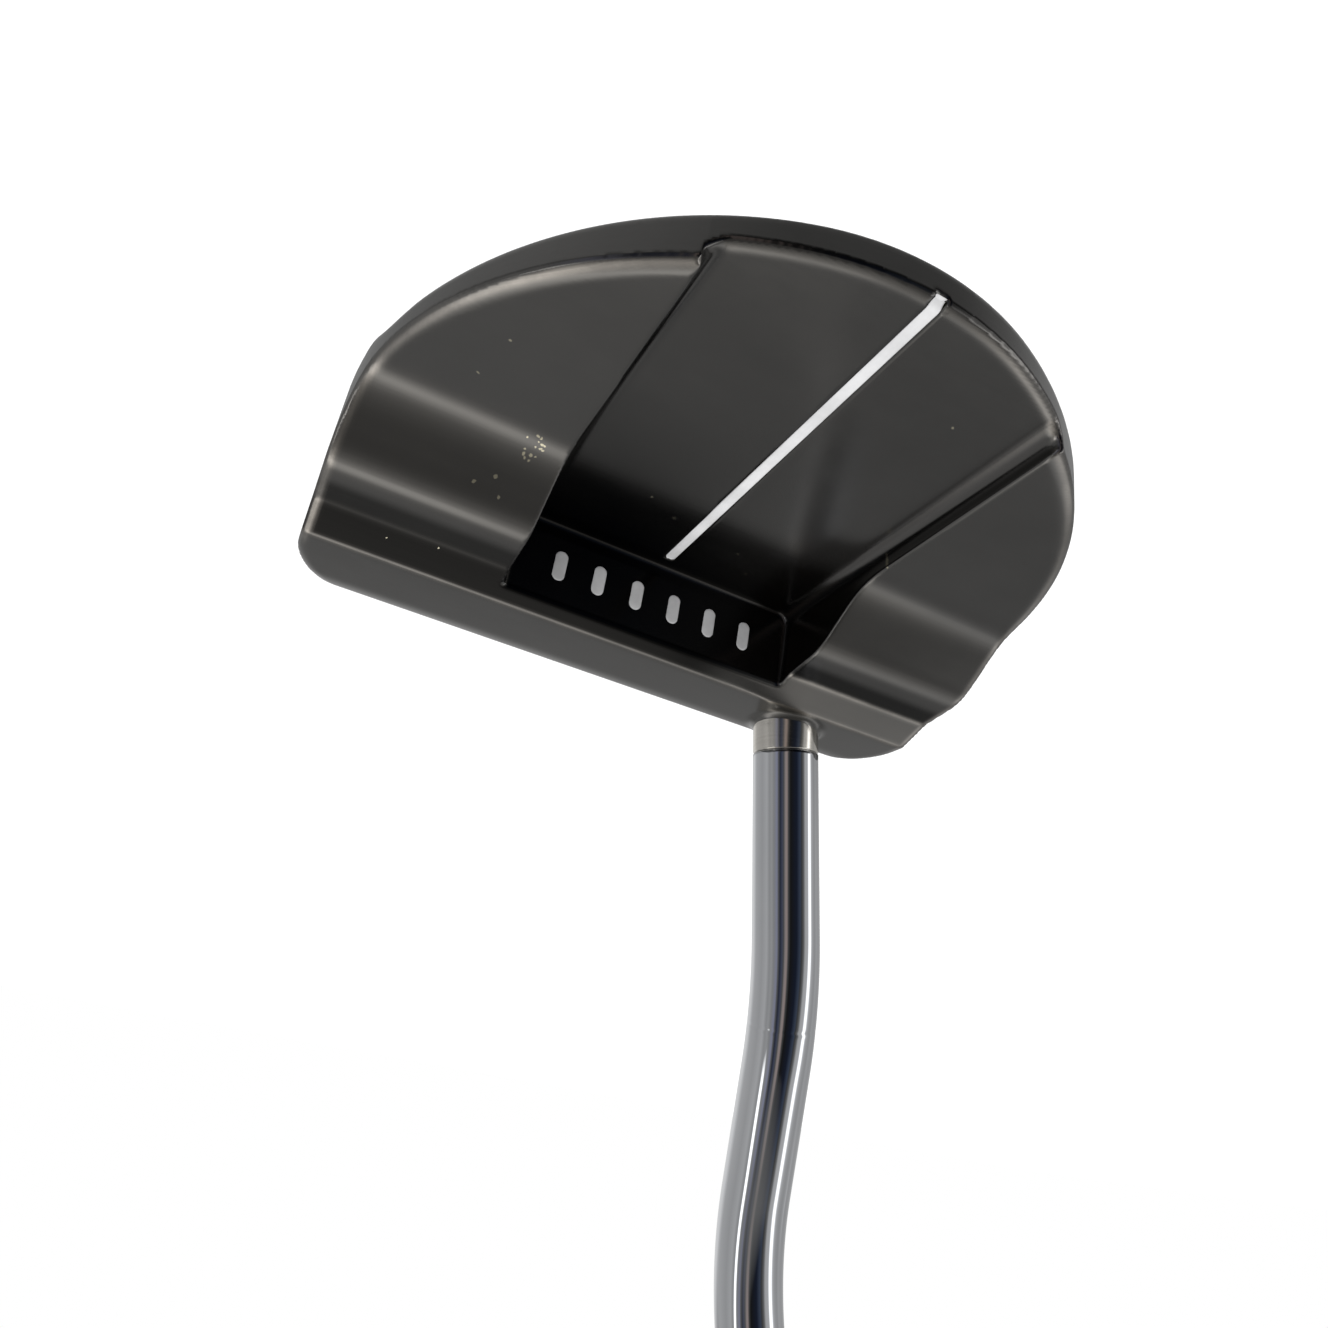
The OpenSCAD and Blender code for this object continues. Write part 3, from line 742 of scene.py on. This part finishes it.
# surround that only glossy reflections see: grey room, window strip, dark gap behind the camera
bm = bmesh.new()
bmesh.ops.create_uvsphere(bm, u_segments=48, v_segments=24, radius=2.2)
me = bpy.data.meshes.new("surround"); bm.to_mesh(me); bm.free()
room = bpy.data.objects.new("surround", me)
bpy.context.scene.collection.objects.link(room)
room.location = (0.03, 0.0, 0.05)
m = bpy.data.materials.new("surround_light"); m.use_nodes = True
nt = m.node_tree; nt.nodes.clear()
out = node(nt, "ShaderNodeOutputMaterial"); em = node(nt, "ShaderNodeEmission")
link(nt, em.outputs[0], out.inputs[0])
tc = node(nt, "ShaderNodeTexCoord"); sep = node(nt, "ShaderNodeSeparateXYZ")
nrm = node(nt, "ShaderNodeVectorMath", operation="NORMALIZE")
link(nt, tc.outputs["Object"], nrm.inputs[0]); link(nt, nrm.outputs[0], sep.inputs[0])
az = math_node(nt, "ARCTAN2", sep.outputs["Y"], sep.outputs["X"])
az01 = math_node(nt, "ADD", math_node(nt, "DIVIDE", az, 2 * math.pi), 0.5)
el = math_node(nt, "ARCSINE", sep.outputs["Z"])
el01 = math_node(nt, "ADD", math_node(nt, "DIVIDE", el, math.pi), 0.5)


def A(deg):
    return (deg + 180) / 360


def E(deg):
    return (deg + 90) / 180


def dim(stops):
    return [(p, tuple(k / GAIN for k in c) if isinstance(c, tuple) else c / GAIN) for p, c in stops]


GAIN = 3.0
ring_c = ramp(nt, az01, dim([(A(-180), 0.36), (A(-170), 0.5), (A(-150), 0.42), (A(-118), 0.5), (A(-100), 0.8),
                             (A(-80), 0.8), (A(-60), 0.5), (A(-18), 0.4), (A(0), 0.46), (A(8), 0.38), (A(18), 0.44),
                             (A(26), 0.6), (A(31), 1.9), (A(38), 1.9), (A(42), 0.55), (A(53), 0.5), (A(59), 0.16),
                             (A(66), 0.06), (A(72), (0.05, 0.065, 0.1)), (A(84), (0.012, 0.016, 0.03)), (A(106), 0.012),
                             (A(113), 0.07), (A(118), (0.36, 0.29, 0.27)), (A(124), (0.3, 0.26, 0.25)),
                             (A(128), 0.1), (A(134), (0.07, 0.08, 0.12)), (A(141), (0.025, 0.03, 0.05)),
                             (A(147), 0.12), (A(152), (0.28, 0.29, 0.38)), (A(163), 0.3), (A(171), 0.4), (A(179), 0.36)]))
tall = mix_rgb(nt, 1.0, ramp(nt, az01, [(A(165), 0.0), (A(169), 1.9 / GAIN), (A(174), 1.9 / GAIN), (A(177), 0.0)]),
               ramp(nt, el01, [(E(31), 0.0), (E(36), 1.0)]), "MULTIPLY")
ring_c = mix_rgb(nt, 1.0, ring_c, tall, "ADD")
# angle in the front-to-back plane: 0 ahead of the face, 90 overhead, 180 behind
phi = math_node(nt, "DIVIDE", math_node(nt, "ARCTAN2", sep.outputs["Z"],
                                        math_node(nt, "MULTIPLY", sep.outputs["Y"], -1.0)), math.pi)


def F(deg):
    return deg / 180


high_toe = ramp(nt, phi, dim([(F(0), 0.4), (F(22), 0.34), (F(30), 0.36), (F(42), 0.41), (F(50), 0.37), (F(57), 0.7),
                              (F(64), 1.7), (F(70), 1.7), (F(76), 0.95), (F(84), 0.5), (F(94), 0.33), (F(108), 0.17),
                              (F(124), 0.2), (F(150), 0.3), (F(180), 0.1)]))
high_heel = ramp(nt, phi, dim([(F(0), 0.7), (F(20), 0.42), (F(30), 0.38), (F(36), 0.31), (F(44), 0.27), (F(52), 0.3), (F(60), 0.42),
                               (F(68), 0.9), (F(76), 0.9), (F(84), 0.6), (F(94), 0.35), (F(108), 0.2),
                               (F(124), 0.25), (F(150), 0.3), (F(180), 0.1)]))
side = ramp(nt, sep.outputs["X"], [(0.05, 0.0), (0.6, 1.0)])
high = mix_rgb(nt, side, high_toe, high_heel)
up_front = ramp(nt, el01, [(E(12), 0.0), (E(24), 1.0)])
up_back = ramp(nt, el01, [(E(42), 0.0), (E(54), 1.0)])
where = ramp(nt, math_node(nt, "ADD", math_node(nt, "MULTIPLY", sep.outputs["Y"], 0.5), 0.5), [(0.42, 0.0), (0.54, 1.0)])
where = math_node(nt, "MAXIMUM", where, ramp(nt, math_node(nt, "MULTIPLY", sep.outputs["X"], -1.0), [(0.25, 0.0), (0.45, 1.0)]))
c = mix_rgb(nt, mix_rgb(nt, where, up_front, up_back), ring_c, high)
low = ramp(nt, az01, dim([(A(-180), 0.26), (A(-120), 0.3), (A(0), 0.3), (A(25), 0.15), (A(45), 0.02), (A(110), 0.02),
                          (A(140), 0.12), (A(179), 0.26)]))
deep = ramp(nt, el01, [(E(-48), 0.26 / GAIN), (E(-36), 0.0)])
low = mix_rgb(nt, 1.0, low, deep, "ADD")
c = mix_rgb(nt, ramp(nt, el01, [(E(-30), 1.0), (E(-16), 0.0)]), c, low)
warm = mix_rgb(nt, 1.0, c, (1.0, 0.975, 0.94), "MULTIPLY")
c = mix_rgb(nt, ramp(nt, el01, [(E(45), 0.0), (E(60), 1.0)]), c, warm)
link(nt, c, em.inputs["Color"])
em.inputs["Strength"].default_value = GAIN
me.materials.append(m)
for p in me.polygons:
    p.use_smooth = True
room.visible_camera = False
room.visible_diffuse = False
room.visible_shadow = False
room.visible_transmission = False
marks.visible_glossy = False
line.visible_glossy = False

world = bpy.data.worlds.new("studio"); bpy.context.scene.world = world
world.use_nodes = True
world.node_tree.nodes["Background"].inputs[0].default_value = (1, 1, 1, 1)
world.node_tree.nodes["Background"].inputs[1].default_value = 1.0


def area(name, loc, target, size, power):
    L = bpy.data.lights.new(name, "AREA"); L.energy = power; L.shape = "RECTANGLE"
    L.size, L.size_y = size
    o = bpy.data.objects.new(name, L)
    bpy.context.scene.collection.objects.link(o)
    o.location = loc
    o.rotation_mode = "QUATERNION"
    o.rotation_quaternion = (Vector(target) - Vector(loc)).to_track_quat("-Z", "Y")
    return o


sun = bpy.data.lights.new("fill", "SUN"); sun.energy = 0.9; sun.angle = math.radians(60)
so = bpy.data.objects.new("fill", sun); bpy.context.scene.collection.objects.link(so)
so.rotation_euler = (0.3, 0.2, 0)
so.visible_glossy = False

# ---------------------------------------------------------------- camera
R = ((0.87961, 0.45167, -0.14926), (0.30664, -0.2985, 0.90381), (0.36367, -0.84077, -0.40106))
cam = bpy.data.cameras.new("camera")
co = bpy.data.objects.new("camera", cam)
bpy.context.scene.collection.objects.link(co)
rot = Matrix(((R[0][0], -R[1][0], -R[2][0]), (R[0][1], -R[1][1], -R[2][1]), (R[0][2], -R[1][2], -R[2][2])))
co.matrix_world = Matrix.Translation((-0.04164, 0.12285 - 0.0113, 0.08207)) @ rot.to_4x4()
cam.sensor_width = 36.0
cam.lens = 36.0 * 1000.0 / 1328.0
cam.shift_x = (664 - 674.49) / 1328
cam.shift_y = (697.21 - 664) / 1328
cam.clip_start, cam.clip_end = 0.005, 100
cam.dof.use_dof = False
bpy.context.scene.camera = co
bpy.context.scene.view_settings.view_transform = "Standard"
bpy.context.scene.view_settings.look = "None"
